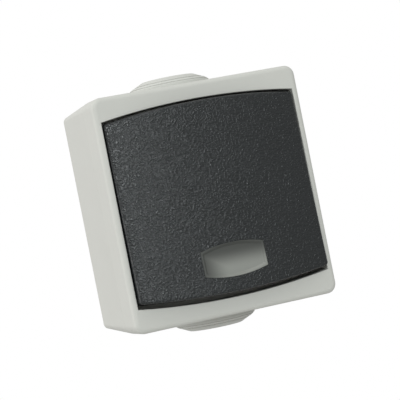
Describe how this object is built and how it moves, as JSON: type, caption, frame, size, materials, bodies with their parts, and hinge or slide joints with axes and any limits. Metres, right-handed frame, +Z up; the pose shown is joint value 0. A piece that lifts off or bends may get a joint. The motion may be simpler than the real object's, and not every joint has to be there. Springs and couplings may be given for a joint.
{
  "type": "outdoor weatherproof switch",
  "caption": "Surface-mounted weatherproof rocker switch: deep tapered box, frame cover, crowned rocker with indicator window, stepped cable glands above and below.",
  "frame": {"origin": "centre of the flat rear face that lies against the wall", "axes": "+X to the right seen from the front, +Y into the wall, +Z up; the rocker faces -Y"},
  "size_m": [0.069, 0.0505, 0.0834],
  "materials": {
    "grey_plastic": "satin moulded, light warm grey",
    "grey_rubber": "light grey membrane rubber",
    "anthracite_plastic": "fine eroded grain",
    "lens_plastic": "translucent smoke grey",
    "black_rubber": "sealing rubber",
    "white_plastic": "mechanism moulding",
    "zinc_steel": "zinc-plated steel",
    "contact_brass": "plain brass",
    "lamp_glass": "clear glass"
  },
  "bodies": {
    "housing": {"rear_housing": "grey_plastic", "front_cover": "grey_plastic", "top_cable_gland": "grey_rubber", "bottom_cable_gland": "grey_rubber", "housing_gasket": "black_rubber", "mechanism_seal": "black_rubber", "cover_screws": "zinc_steel", "mounting_plate": "zinc_steel", "plate_screws": "zinc_steel", "mechanism_base": "white_plastic", "mechanism_cover": "white_plastic", "mechanism_rivets": "contact_brass", "common_strip": "contact_brass", "upper_contact_strip": "contact_brass", "lower_contact_strip": "contact_brass", "terminal_clamps": "contact_brass", "terminal_screws": "zinc_steel", "indicator_lamp": "lamp_glass"},
    "rocker": {"rocker": "anthracite_plastic", "indicator_lens": "lens_plastic", "rocker_cradle": "white_plastic", "spring_plunger": "white_plastic", "plunger_spring": "zinc_steel"},
    "contact": {"moving_contact": "contact_brass"}
  },
  "joints": [
    {"name": "rocker_tilt", "type": "hinge", "parent": "housing", "child": "rocker", "pos_m": [0, -0.0365, 0], "axis": [1, 0, 0], "range_deg": [0, 5]},
    {"name": "contact_tilt", "type": "hinge", "parent": "housing", "child": "contact", "pos_m": [0, -0.0232, 0], "axis": [1, 0, 0], "range_deg": [-8, 0]}
  ],
  "couplings": [
    {"joint": "contact_tilt", "follows": "rocker_tilt", "ratio": -1.6}
  ]
}
